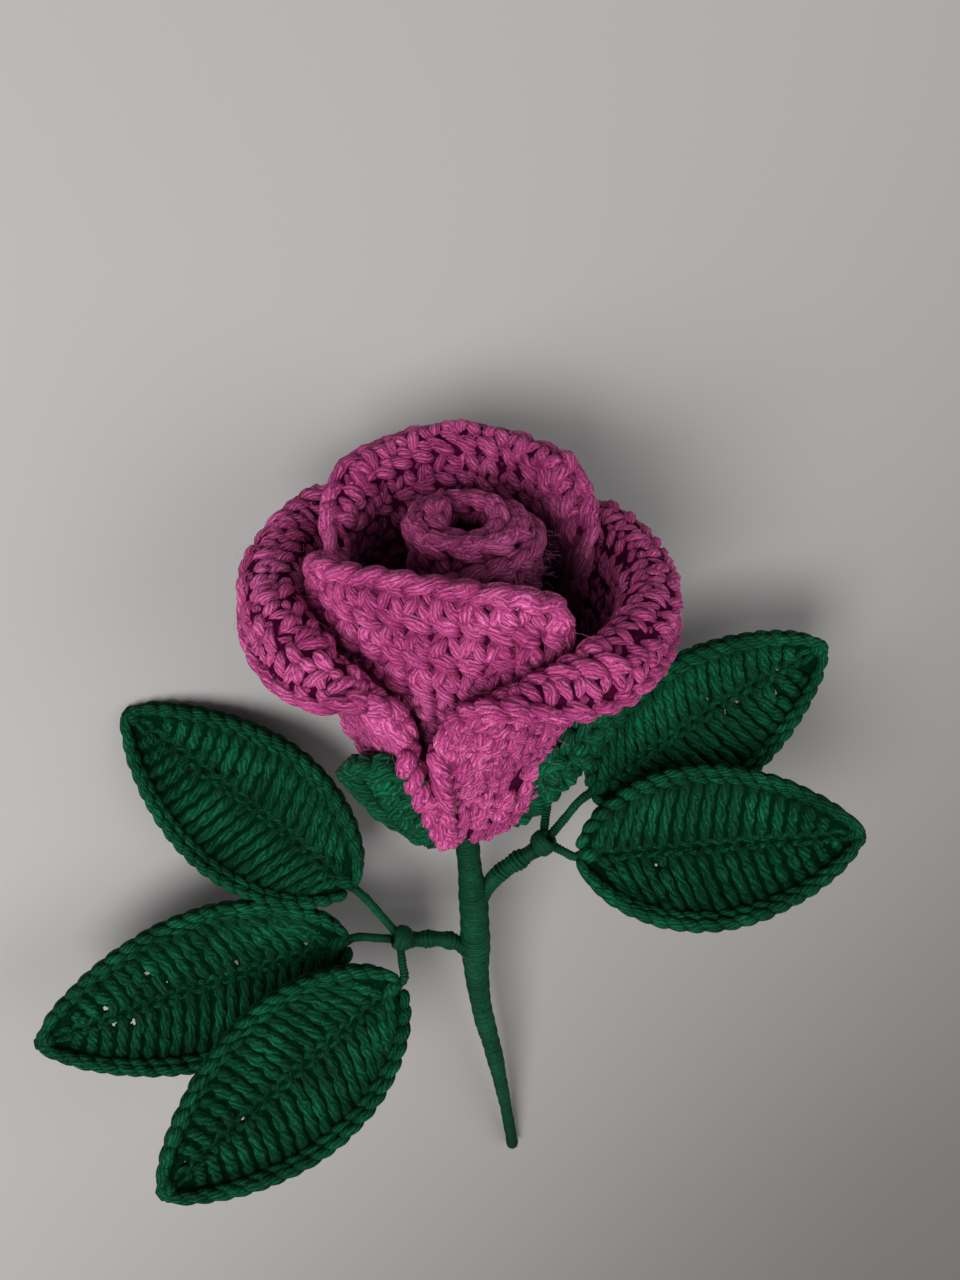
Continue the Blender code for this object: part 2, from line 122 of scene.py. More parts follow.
class Sock:
    """A socket that takes part in ordinary arithmetic, which adds the Math nodes."""

    def __init__(self, tree, socket):
        self.tree, self.socket = tree, socket

    def feed(self, entry, value):
        """Links a value into a socket, or sets the socket where the value is a plain number or colour."""
        if isinstance(value, Sock):
            self.tree.links.new(value.socket, entry)
        else:
            entry.default_value = value

    def maths(self, operation, *values):
        made = self.tree.nodes.new("ShaderNodeMath")
        made.operation = operation
        for entry, value in zip(made.inputs, values):
            self.feed(entry, value)
        return Sock(self.tree, made.outputs[0])

    def __add__(self, other):
        return self.maths("ADD", self, other)

    def __mul__(self, other):
        return self.maths("MULTIPLY", self, other)

    def __sub__(self, other):
        return self.maths("SUBTRACT", self, other)

    def __rsub__(self, other):
        return self.maths("SUBTRACT", other, self)

    def __pow__(self, other):
        return self.maths("POWER", self, other)

    __radd__ = __add__
    __rmul__ = __mul__

    def wave(self):
        return self.maths("SINE", self)

    def ramp(self):
        """A soft step from 0 to 1 as this value passes from below zero to above it."""
        return self.maths("TANH", self) * 0.5 + 0.5

    def clipped(self):
        """This value, held between 0 and 1."""
        return self.maths("MINIMUM", self.maths("MAXIMUM", self, 0.0), 1.0)

    def node(self, kind, settings, output, **inputs):
        """Any other node: its settings first, then the values or links of its sockets by name."""
        made = self.tree.nodes.new(kind)
        for name, value in settings.items():
            setattr(made, name, value)
        for name, value in inputs.items():
            self.feed(made.inputs[name.replace("_", " ")], value)
        return Sock(self.tree, made.outputs[output])

    def output(self, name):
        """Another output of the node that this value comes from."""
        return Sock(self.tree, self.socket.node.outputs[name])

    def against(self, operation, other, output):
        """Vector Math between this vector and a fixed one."""
        made = self.tree.nodes.new("ShaderNodeVectorMath")
        made.operation = operation
        for entry, value in zip(made.inputs, (self, other)):
            self.feed(entry, value)
        return Sock(self.tree, made.outputs[output])

    def blend(self, low, high):
        """A colour between two colours by this value."""
        made = self.tree.nodes.new("ShaderNodeMix")
        made.data_type = "RGBA"
        for entry, value in zip((made.inputs["Factor"], made.inputs[6], made.inputs[7]), (self, low, high)):
            self.feed(entry, value)
        return Sock(self.tree, made.outputs[2])


def material_start(name):
    material = bpy.data.materials.new(name)
    material.use_nodes = True
    shader = material.node_tree.nodes["Principled BSDF"]
    return material, shader, Sock(material.node_tree, None)


def darker(colour, share):
    return tuple(c * share for c in colour[:3]) + (1.0,)


def yarn(name, shadow, body, light, plies, lean, roughness, gloss, relief, cavity=0.0):
    """Spun yarn in a shadow, a body and a light colour, mixed by its own uneven tone and by streaks of
    painted highlight along its fibres and painted shade between its plies and where it tucks under. Plies
    counts the streaks round a strand and lean their turn along it, and cavity is how much darker the yarn is
    drawn down inside the bloom, painted shade where the petals keep the light off."""
    material, shader, start = material_start(name)
    grid = start.node("ShaderNodeUVMap", {"uv_map": "UVMap"}, "UV")
    place = start.node("ShaderNodeTexCoord", {}, "Object")
    along = start.node("ShaderNodeSeparateXYZ", {}, "X", Vector=grid)
    around = along.output("Y")
    wander = start.node("ShaderNodeTexNoise", {}, "Fac", Vector=place, Scale=WANDER_SCALE, Detail=1.0)
    patch = start.node("ShaderNodeTexNoise", {}, "Fac", Vector=place, Scale=PATCH_SCALE, Detail=2.0)
    lie = around + along * lean + wander * WANDER_TURN
    ply = (lie * (math.tau * plies)).wave() * 0.5 + 0.5
    round_x = (lie * math.tau).wave() * FIBRE_ROUND
    round_y = (lie * math.tau + math.pi / 2).wave() * FIBRE_ROUND
    ring = start.node("ShaderNodeCombineXYZ", {}, "Vector", X=round_x, Y=round_y,
                      Z=along * FIBRE_ALONG + wander * FIBRE_DRIFT)
    fibre = start.node("ShaderNodeTexNoise", {}, "Fac", Vector=ring, Scale=FIBRE_SCALE, Detail=4.0,
                       Roughness=0.75)
    # Painted shade: each strand is drawn darker towards both ends, where it tucks under its neighbours.
    tuck_shade = (along * math.pi).wave().clipped() ** TUCK_POWER
    # Fibre and ply streaks paint highlights towards the light colour and shade between plies towards the
    # shadow colour.
    shade = (fibre - 0.5) * FIBRE_TONE + ply * PLY_TONE + MIDDLE_TONE + (patch - 0.5) * PATCH_TONE
    tone = (shade.clipped() * (tuck_shade * TUCK_SHADE + (1.0 - TUCK_SHADE))).clipped()
    colour = ((tone - 0.5) * 2.0).clipped().blend((tone * 2.0).clipped().blend(shadow, body), light)
    # Painted shade: down inside the bloom's cavity the yarn is drawn darker, towards its shadow colour.
    if cavity:
        offset = place.against("SUBTRACT", Vector(lay(CAVITY_AXIS)), "Vector")
        rise = offset.against("DOT_PRODUCT", Vector(turn_down[:, 2]), "Value")
        far = offset.against("LENGTH", (0.0, 0.0, 0.0), "Value")
        beside = (far ** 2.0 - rise ** 2.0).clipped() ** 0.5
        inside = ((CAVITY_TOP - rise) * TOP_EDGE).ramp() * ((rise - CAVITY_FLOOR) * FLOOR_EDGE).ramp()
        inside = inside * ((CAVITY_REACH - beside) * REACH_EDGE).ramp()
        colour = (inside * cavity).blend(colour, darker(shadow, CAVITY_SHADE))
    height = fibre * FIBRE_RELIEF + ply * PLY_RELIEF
    bump = start.node("ShaderNodeBump", {}, "Normal", Strength=0.9, Distance=relief, Height=height)
    rough = (1.0 - fibre) * 0.35 + (roughness - 0.15)
    start.feed(shader.inputs["Base Color"], colour)
    start.feed(shader.inputs["Normal"], bump)
    start.feed(shader.inputs["Roughness"], rough.clipped())
    start.feed(shader.inputs["Specular IOR Level"], gloss)
    return material


def deep(name, colour):
    """A matte fibre in one colour, darker in fine random patches. Drawn dark behind a fabric's face, it is
    painted shade, seen only as the dark of its gaps; the fuzz is drawn with it in its own colour.
    """
    material, shader, start = material_start(name)
    place = start.node("ShaderNodeTexCoord", {}, "Object")
    fluff = start.node("ShaderNodeTexNoise", {}, "Fac", Vector=place, Scale=FLUFF_SCALE, Detail=3.0)
    bump = start.node("ShaderNodeBump", {}, "Normal", Strength=0.8, Distance=0.0003, Height=fluff)
    start.feed(shader.inputs["Base Color"], fluff.blend(darker(colour, 0.45), colour))
    start.feed(shader.inputs["Normal"], bump)
    start.feed(shader.inputs["Roughness"], 0.9)
    start.feed(shader.inputs["Specular IOR Level"], 0.02)
    return material


def strands(name, lines, sides_step=1):
    """A mesh of many strands. Each line is an array of points in millimetres, upright, and its radii."""
    curve = bpy.data.curves.new(name, "CURVE")
    curve.dimensions = "3D"
    curve.bevel_depth = MM
    curve.bevel_resolution = sides_step
    curve.use_fill_caps = True
    for points, radii in lines:
        path = curve.splines.new("POLY")
        path.points.add(len(points) - 1)
        placed = np.ones((len(points), 4))
        placed[:, :3] = lay(points)
        path.points.foreach_set("co", placed.ravel())
        path.points.foreach_set("radius", np.asarray(radii, float))
        path.points.foreach_set("tilt", np.full(len(points), chance.uniform(0, math.tau)))
    holder = bpy.data.objects.new(name + "_curve", curve)
    bpy.context.scene.collection.objects.link(holder)
    bpy.context.view_layer.update()
    mesh = bpy.data.meshes.new_from_object(holder.evaluated_get(bpy.context.evaluated_depsgraph_get()))
    bpy.data.objects.remove(holder)
    bpy.data.curves.remove(curve)
    return mesh


def piece_from(name, meshes, materials):
    """One piece from several meshes, each with its own material."""
    bm = bmesh.new()
    for slot, part in enumerate(meshes):
        first = len(bm.faces)
        bm.from_mesh(part)
        bm.faces.ensure_lookup_table()
        for face in bm.faces[first:]:
            face.material_index = slot
            face.smooth = True
        bpy.data.meshes.remove(part)
    bmesh.ops.remove_doubles(bm, verts=bm.verts, dist=1e-7)
    mesh = bpy.data.meshes.new(name)
    bm.to_mesh(mesh)
    bm.free()
    for material in materials:
        mesh.materials.append(material)
    made = bpy.data.objects.new(name, mesh)
    bpy.context.scene.collection.objects.link(made)
    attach(made, "root")
    return made


# Petals: panels of magenta yarn, crocheted in rows from the base up, that curve round the stem and roll over
# at the rim. They lie on the bloom's cup, whose outline is given as radius and height pairs, or on layers
# inside it, a ply and a small gap apart.
PETAL_PLY = 3.4
NEST = 0.6
LAYER_STEP = PETAL_PLY + NEST
CUP = [(6.6, 3.6), (9.2, 5.0), (12.4, 10.0), (17.8, 20.0), (22.6, 31.0), (26.6, 43.0), (28.8, 52.0),
       (29.6, 60.0), (29.8, 74.0)]
ROW_CROWDING = 1.5
OUTER_ROLL, INNER_ROLL = 4.2, 2.8

# How the outer petals' foot swells at the front, and how far an edge swings, in degrees, at given heights.
BELLY_MIDDLE, BELLY_REACH, BELLY_TOP = 290.0, 75.0, 24.0
BELLY_POWER, BELLY_OUT, BELLY_DOWN = 0.7, 0.75, 0.35
SWING_HEIGHTS, SWING = (8, 15, 25, 35, 43, 50), (8.6, 4.7, 0.0, -1.9, -4.1, -6.6)
SWING_POWER = 8

# Stitches, how unevenly they are worked, the chain along an edge and the loose fibres.
STITCH_WIDTH, STITCH_HEIGHT = 4.5, 6.4
SMALLEST_STITCH, LARGEST_STITCH = 0.55, 1.2
CROWDED, PACKED = 0.6, 0.3
CROWDED_SPREAD = 0.74
FACE_DEPTH = -0.35
UNEVEN_ACROSS, UNEVEN_UP, UNEVEN_OUT, UNEVEN_RADIUS, UNEVEN_WIDTH = 0.10, 0.07, 0.3, 0.12, 0.15
BENT_ACROSS, BENT_UP = 0.07, 0.05
EDGE_SHARE = 0.985
CHAIN_PITCH, CHAIN_RADIUS, CHAIN_REACH, CHAIN_SPREAD = 4.9, 1.15, 1.2, 0.9
CHAIN_JITTER = 0.06
SIDE_FROM, SIDE_RUN, SIDE_REACH = 0.19, 0.79, 1.1
FUZZ_COUNT = 150
FUZZ_FROM, FUZZ_DRIFT = 0.45, 0.03
FUZZ_FOOT, FUZZ_LENGTH, FUZZ_RADIUS = 1.6, 3.2, 0.02
petal_yarn = yarn("magenta_yarn", (0.07, 0.0015, 0.024, 1), (0.42, 0.036, 0.18, 1), (0.84, 0.21, 0.48, 1),
                  plies=8, lean=0.35, roughness=0.6, gloss=0.25, relief=0.0006, cavity=0.88)
# Painted shade: the dark magenta of the sheets that show between the stitches.
petal_gap_shade = deep("magenta_painted_gap_shade", (0.05, 0.002, 0.021, 1))
petal_fuzz = deep("magenta_fuzz", (0.5, 0.16, 0.33, 1))

# Each strand of a stitch has stations of (across, up, height above the sheet, radius), the first two counted
# in stitches. They make a tent of two legs, with a slanting wrap and a shorter strand over it. A loop of an
# edge's chain has stations of (along, outwards, off its face, radius), the first counted in loops.
LEG = [(0.42, -0.06, -0.2, 0.6), (0.38, 0.10, 0.55, 1.15), (0.27, 0.27, 0.85, 1.25), (0.13, 0.44, 0.7, 0.95),
       (0.03, 0.60, 0.0, 0.5)]
OTHER_LEG = [(-0.40, -0.06, -0.2, 0.6), (-0.36, 0.10, 0.5, 1.1), (-0.26, 0.28, 0.8, 1.2),
             (-0.12, 0.46, 0.7, 0.95), (-0.01, 0.62, 0.0, 0.5)]
WRAP = [(-0.58, 1.02, -0.4, 0.55), (-0.40, 0.94, 0.65, 1.1), (-0.10, 0.80, 1.2, 1.3),
        (0.20, 0.66, 0.9, 1.15), (0.48, 0.48, -0.4, 0.55)]
OVER = [(-0.18, 1.12, -0.1, 0.55), (0.02, 1.04, 0.7, 1.0), (0.24, 0.93, 0.9, 1.1), (0.50, 0.78, 0.1, 0.6)]
STITCH = (LEG, OTHER_LEG, WRAP, OVER)
CHAIN_LOOP = [(-0.72, -1.0, 0.75, 0.5), (-0.42, -0.6, 1.2, 1.0), (0.0, 0.0, 1.15, 1.12),
              (0.42, 0.48, 0.65, 1.0), (0.75, 0.6, 0.1, 0.5)]
STRAND_POINTS = 8


def spline(points, count):
    """Points at even parameter steps on a smooth curve through the given points."""
    given = np.asarray(points, float)
    padded = np.vstack([2 * given[0] - given[1], given, 2 * given[-1] - given[-2]])
    where = np.linspace(0, len(given) - 1, count)
    span = np.minimum(where.astype(int), len(given) - 2)
    t = (where - span)[:, None]
    a, b, c, d = padded[span], padded[span + 1], padded[span + 2], padded[span + 3]
    return 0.5 * (2 * b + (c - a) * t + (2 * a - 5 * b + 4 * c - d) * t ** 2
                  + (3 * b - 3 * c + d - a) * t ** 3)


def path_length(path):
    """How far along a path each of its points lies."""
    return np.concatenate([[0.0], np.cumsum(np.linalg.norm(np.diff(path, axis=0), axis=1))])


def points_at(at, length, track):
    """The points of a track at places along it."""
    return np.stack([np.interp(at, length, track[:, k]) for k in range(3)], axis=1)


def round_axis(angle, radius, height, axis=(0.0, 0.0)):
    """Points round an upright axis."""
    return np.stack([axis[0] + radius * np.cos(angle), axis[1] + radius * np.sin(angle), height], axis=-1)


def cup_layer(step):
    """The cup's profile moved inwards by a distance: arrays of radius, height and length along it."""
    outline = spline(CUP, 160)
    along = np.gradient(outline, axis=0)
    along /= np.linalg.norm(along, axis=1)[:, None]
    moved = outline + np.stack([-along[:, 1], along[:, 0]], axis=1) * step
    return moved[:, 0], moved[:, 1], path_length(moved)


def petal_sheet(layers_in, stations, roll_radius, flatten=0.0, belly=0.0, swing=0.0):
    """A function from (share across, share up) to points of the petal's middle, from stations of azimuth in
    degrees, height of the crest and length of the rolled rim. Belly swells the foot at the front, over the
    calyx, and with swing 1 the last edge slants, its foot further round to the front."""
    radii, heights, lengths = cup_layer(layers_in * LAYER_STEP)
    angles, crests, rims = np.array(stations, float).T

    def sheet(across, up):
        azimuth = angles[0] + (angles[-1] - angles[0]) * across
        full = np.clip(1 - ((azimuth - BELLY_MIDDLE + 180) % 360 - 180) ** 2 / BELLY_REACH ** 2, 0, 1)
        wall = np.interp(np.interp(azimuth, angles, crests), heights, lengths)
        run = up * (wall + np.interp(azimuth, angles, rims))
        radius = np.interp(np.minimum(run, wall), lengths, radii)
        height = np.interp(np.minimum(run, wall), lengths, heights)
        past = np.maximum(run - wall, 0)
        turn = np.minimum(past / roll_radius, math.pi)
        radius = radius + roll_radius * (1 - np.cos(turn))
        height = height + roll_radius * np.sin(turn) - np.maximum(past - math.pi * roll_radius, 0)
        grown = 1 - np.clip(1 - up, 0, 1) ** (1 / ROW_CROWDING)
        radius = radius * (1 - flatten * np.sin(math.pi * across) ** 2 * grown ** 2)
        swell = belly * full * np.clip(1 - height / BELLY_TOP, 0, 1) ** BELLY_POWER
        radius, height = radius + swell * BELLY_OUT, height - swell * BELLY_DOWN
        angle = np.radians(azimuth + swing * across ** SWING_POWER * np.interp(height, SWING_HEIGHTS, SWING))
        return round_axis(angle, radius, height)

    return sheet


def lifted(sheet, across, up, height):
    """Points at a height above a sheet, along its outward normal."""
    step = 0.004
    here = sheet(across, up)
    sideways = sheet(across + step, up) - sheet(across - step, up)
    upwards = sheet(across, np.clip(up + step, 0, 1)) - sheet(across, np.clip(up - step, 0, 1))
    normal = np.cross(sideways, upwards)
    normal /= np.maximum(np.linalg.norm(normal, axis=-1), 1e-9)[..., None]
    return here + normal * np.asarray(height)[..., None]


def crochet_face(sheet, facing, columns, low=0.0, tall=STITCH_HEIGHT, wide=STITCH_WIDTH, depth=FACE_DEPTH,
                 upright=False):
    """The stitches of one face of a sheet, facing 1 outwards or -1 inwards: columns that fan out with the
    sheet, in rows that are counted down from its rim. Where the columns crowd, two or four stitches become
    one. Upright stitches stay so where that rim slopes steeply."""
    edge = np.linspace(0, 1, 61)
    climb = sheet(*np.meshgrid(edge, np.linspace(0, 1, 80), indexing="ij"))
    long = np.linalg.norm(np.diff(climb, axis=1), axis=2).sum(axis=1)
    rows = math.ceil(long.max() / tall)
    row, column = (grid.ravel()[:, None] for grid in np.meshgrid(np.arange(rows), np.arange(columns)))
    centre = (column + 0.5) / columns
    level = 1 - (row + 0.5) * tall / np.interp(centre, edge, long)
    kept = level[:, 0] > low
    row, column, centre, level = (values[kept] for values in (row, column, centre, level))
    span = sheet(centre + 0.5 / columns, level) - sheet(centre - 0.5 / columns, level)
    size = np.linalg.norm(span, axis=2) / wide
    merge = np.where(size < PACKED, 4, np.where(size < CROWDED, 2, 1))
    kept = (column % merge == 0)[:, 0]
    row, column, size, merge = (values[kept] for values in (row, column, size, merge))
    size = np.clip(size * merge, SMALLEST_STITCH, LARGEST_STITCH)
    spread = np.where(merge > 1, CROWDED_SPREAD, 1.0) * merge
    bend = np.linspace(-1.5, 1.5, STRAND_POINTS)
    lines = []
    for shape in STITCH:
        station = spline(shape, STRAND_POINTS)
        aside, above, out, thick, sway, nod = (chance.uniform(-1, 1, (len(row), 1)) for _ in range(6))
        across = (station[:, 0] * (1 + sway * UNEVEN_WIDTH) + aside * UNEVEN_ACROSS
                  + BENT_ACROSS * np.sin(bend + sway * 3))
        across = np.clip((column + 0.5 * merge + across * facing * spread) / columns, 0, 1)
        rise = station[:, 1] + above * UNEVEN_UP + BENT_UP * np.sin(bend + nod * 3)
        here = np.interp(across, edge, long)
        from_foot = np.interp((column + 0.5 * merge) / columns, edge, long) if upright else here
        up = (from_foot - (row + 1 - rise) * tall) / here
        height = (station[:, 2] + depth + out * UNEVEN_OUT) * facing * size
        radius = station[:, 3] * size * (1 + thick * UNEVEN_RADIUS)
        points = lifted(sheet, across, np.clip(up, 0, EDGE_SHARE), height)
        lines += list(zip(points, radius))
    return lines


def fuzz(sheet, facing, low):
    """Loose fibres that stand off the upper part of a sheet, hair-thin and a few millimetres long."""
    count = int(FUZZ_COUNT * (1 - low) ** 3)
    steps = np.linspace(0, 1, 5)
    drift = [chance.uniform(-1, 1, (count, 1)) * FUZZ_DRIFT for _ in range(4)]
    across = chance.uniform(0.02, 0.98, (count, 1)) + drift[0] * steps + drift[1] * steps ** 2
    up = chance.uniform(max(low, FUZZ_FROM), 0.99, (count, 1)) + drift[2] * steps + drift[3] * steps ** 2
    height = FUZZ_FOOT + FUZZ_LENGTH * chance.uniform(0.4, 1, (count, 1)) * steps
    points = lifted(sheet, np.clip(across, 0, 1), np.clip(up, 0, 1), height * facing)
    return [(line, np.full(len(steps), FUZZ_RADIUS)) for line in points]


def edge_chain(path, outward, facing, pitch=CHAIN_PITCH, radius=CHAIN_RADIUS, reach=CHAIN_REACH,
               spread=CHAIN_SPREAD):
    """A chain along an edge: pairs of loops that slant together, one on each face, like a plait."""
    length = path_length(path)
    count = max(2, round(length[-1] / pitch))
    step = length[-1] / count
    loop = spline(CHAIN_LOOP, STRAND_POINTS)
    lines = []
    for i in range(count):
        for side in (1, -1):
            jitter = chance.uniform(-CHAIN_JITTER, CHAIN_JITTER)
            at = np.clip((i + 0.5 + loop[:, 0] + jitter) * step, 0, length[-1])
            here, out, face = (points_at(at, length, track) for track in (path, outward, facing))
            points = here + out * (loop[:, 1] * reach)[:, None] + face * (loop[:, 2] * side * spread)[:, None]
            lines.append((points, loop[:, 3] * radius))
    return lines


def sheet_edge(sheet, across, up):
    """A path along a sheet's edge, its outward direction in the sheet, and the sheet's normal there."""
    path = sheet(across, up)
    normal = lifted(sheet, across, up, np.ones(len(across))) - path
    along = np.gradient(path, axis=0)
    along /= np.linalg.norm(along, axis=1)[:, None]
    outward = np.cross(along, normal)
    inside = sheet(0.5 + (across - 0.5) * 0.97, 0.5 + (up - 0.5) * 0.97) - path
    outward *= -np.sign((outward * inside).sum(axis=1))[:, None]
    return path, outward, normal


def backing(name, sheet, columns, rows, thickness, wide=EDGE_SHARE, tall=EDGE_SHARE, centre=0.5, holes=(),
            clear=0.0):
    """A thin sheet through the middle of a fabric, which closes the gaps between its stitches, apart from its
    holes:
    the dark sheet of painted shade that shows in them.
    """
    bm = bmesh.new()
    bmesh.ops.create_grid(bm, x_segments=columns, y_segments=rows, size=0.5)
    spots = np.array([v.co for v in bm.verts])
    for corner, point in zip(bm.verts, lay(sheet(spots[:, 0] * wide + 0.5, spots[:, 1] * tall + centre))):
        corner.co = point
    gaps = [face for face in bm.faces
            if any((face.calc_center_median() - Vector(lay(hole))).length < clear * MM for hole in holes)]
    if gaps:
        bmesh.ops.delete(bm, geom=gaps, context="FACES")
    bmesh.ops.recalc_face_normals(bm, faces=bm.faces)
    bmesh.ops.solidify(bm, geom=bm.faces[:], thickness=thickness * MM)
    bmesh.ops.recalc_face_normals(bm, faces=bm.faces)
    mesh = bpy.data.meshes.new(name)
    bm.to_mesh(mesh)
    bm.free()
    return mesh


def crochet_petal(name, columns, sheet, inner_from=0.35, outer_from=0.0, rim=1.0, proud=0.0):
    """A petal: stitches on both faces, a plaited chain round its open edges, its middle and its fuzz. Rim
    scales the chain along its rim, and proud lifts the chains down its sides off it and thickens them."""
    steps = np.linspace(0, 1, 80)
    lines = crochet_face(sheet, 1, columns, outer_from) + crochet_face(sheet, -1, columns, inner_from)
    lines += edge_chain(*sheet_edge(sheet, steps, np.full(80, EDGE_SHARE)), CHAIN_PITCH * rim,
                        CHAIN_RADIUS * rim, CHAIN_REACH * rim, CHAIN_SPREAD * rim)
    for side in (0.0, 1.0):
        path, outward, normal = sheet_edge(sheet, np.full(80, side), steps * SIDE_RUN + SIDE_FROM)
        lines += edge_chain(path + normal * proud, outward, normal, CHAIN_PITCH, CHAIN_RADIUS + proud * 0.2,
                            SIDE_REACH + proud * 0.35, CHAIN_SPREAD + proud * 0.15)
    loose = fuzz(sheet, 1, outer_from) + fuzz(sheet, -1, inner_from)
    # The petal's middle sheet is drawn in dark magenta: painted shade in the gaps between its stitches.
    made = piece_from(name + "_stitches", [strands(name, lines), backing(name, sheet, 40, 40, 0.8),
                                           strands(name, loose, 0)], [petal_yarn, petal_gap_shade, petal_fuzz])
    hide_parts(name)


crochet_petal("outer_petal_right", 22, petal_sheet(0, [
    (-98, 39.5, 0), (-92, 43.0, 3), (-82, 46.5, 7), (-66, 51.0, 13), (-45, 54.0, 18), (0, 55.0, 19),
    (35, 56.5, 16), (50, 52.0, 6)], OUTER_ROLL, belly=5.0), proud=1.2)
crochet_petal("outer_petal_left", 18, petal_sheet(0, [
    (130, 54.0, 6), (142, 59.5, 13), (165, 58.0, 18), (205, 56.5, 19), (222, 53.5, 17), (238, 49.0, 12),
    (250, 44.5, 6), (253.5, 40.0, 0)], OUTER_ROLL, belly=5.0, swing=1.0), proud=2.2)
crochet_petal("outer_petal_back", 12, petal_sheet(1, [
    (37, 42.0, 0), (55, 48.0, 0), (66, 52.0, 8), (90, 54.0, 14), (114, 52.0, 8), (125, 48.0, 0),
    (143, 42.0, 0)], OUTER_ROLL))
crochet_petal("inner_petal_front", 11, petal_sheet(1, [
    (197, 63.5, 0), (204, 67.5, 0), (240, 69.5, 0), (262, 69.5, 0), (290, 68.5, 0), (306, 65.5, 0),
    (312, 60.0, 0)], OUTER_ROLL, flatten=0.15))
crochet_petal("inner_petal_back", 16, petal_sheet(2, [
    (3, 55.0, 2), (13, 61.5, 5), (45, 69.0, 8), (92, 72.5, 9), (140, 69.0, 8), (172, 61.5, 5),
    (183, 55.0, 2)], INNER_ROLL))

# Bud: a strip of the same magenta fabric rolled up round the top of the wire, leaving a small dark hole, and
# one more petal wrapped round its right side.
BUD_AXIS = (0.3, 1.2)
BUD_FOOT, BUD_TOP = 33.0, 71.0
BUD_HOLE_RADIUS = 2.1
BUD_TURNS = 1.7
WRAP_LAYER = 2.3
BUD_START = math.radians(150)
BUD_DROP = 2.0
BUD_LEAN = 0.6
BUD_DIP, BUD_DIP_AT, BUD_DIP_REACH = 2.6, 0.36, 0.3
BUD_OPEN = 0.9
WRAP_FOOT, WRAP_CROWN, WRAP_DROP = 43.0, 65.5, 6.0
WRAP_FROM, WRAP_ANGLE = math.radians(-128), math.radians(215)
bud_inner = BUD_HOLE_RADIUS + PETAL_PLY / 2


def bud_sheet(across, up):
    """Across goes round the roll from its inner end outwards. Its inner turn is opened a little, and dips at
    the front."""
    turns = across * BUD_TURNS
    angle = BUD_START + turns * math.tau
    radius = bud_inner + turns * LAYER_STEP + BUD_LEAN * (up - 1) + BUD_OPEN * np.clip(1 - turns, 0, 1)
    dip = BUD_DIP * np.clip(1 - ((turns - BUD_DIP_AT) / BUD_DIP_REACH) ** 2, 0, 1)
    height = BUD_FOOT + up * (BUD_TOP - BUD_FOOT - turns * BUD_DROP - dip)
    return round_axis(angle, radius, height, BUD_AXIS)


def bud_wrap_sheet(across, up):
    """Across goes round the bud's right side, and the crown falls away towards both edges."""
    angle = WRAP_FROM + WRAP_ANGLE * across
    radius = bud_inner + WRAP_LAYER * LAYER_STEP + BUD_LEAN * (up - 1)
    crown = WRAP_CROWN - WRAP_DROP * np.abs(2 * across - 1) ** 3
    height = WRAP_FOOT + up * (crown - WRAP_FOOT)
    return round_axis(angle, radius, height, BUD_AXIS)


crochet_petal("bud_petal", 17, bud_sheet, inner_from=0.9, outer_from=0.4, rim=0.8)
crochet_petal("bud_wrap_petal", 11, bud_wrap_sheet, inner_from=0.5, rim=0.85)

# Calyx: one green ring of the same stitch in glossier yarn, crocheted round the stem under the bloom, with
# three wide sepals that stand up along the outer petals. Each sepal is given by the azimuth and height of its
# tip and its reach to either side.
CALYX_PLY = 2.6
CALYX_RIM = 4.0
SEPALS = [(335.0, 42.0, 31.0, 47.0), (95.0, 28.0, 50.0, 50.0), (241.0, 34.5, 39.0, 28.0)]
SEPAL_ROUNDNESS = 0.8
FLARE_TOP = 16.0
SINK, SINK_MIDDLE, SINK_REACH, SINK_TOP = 8.0, 289.0, 50.0, 60.0
SINK_IN, SINK_UP = 0.85, 0.3
FLARES = [(2.0, 343.0, 30.0), (1.7, 222.0, 32.0)]
STEM_RADIUS, STEM_SEAM = 2.5, 0.3
CALYX_ROWS, CALYX_COLUMNS = 8, 20
CALYX_STITCH = {"tall": 5.0, "wide": 4.2, "upright": True}
calyx_hole = STEM_RADIUS + STEM_SEAM + CALYX_PLY / 4
calyx_radii, calyx_heights, calyx_lengths = cup_layer(-(PETAL_PLY + CALYX_PLY) / 2 - NEST)
calyx_yarn = yarn("glossy_green_yarn", (0.0, 0.006, 0.002, 1), (0.0003, 0.050, 0.019, 1),
                  (0.003, 0.19, 0.085, 1), plies=7, lean=0.4, roughness=0.45, gloss=0.1, relief=0.0006)
# Painted shade: the dark green of the sheets and knot hearts that show between the stitches.
green_gap_shade = deep("green_painted_gap_shade", (0.0, 0.016, 0.006, 1))


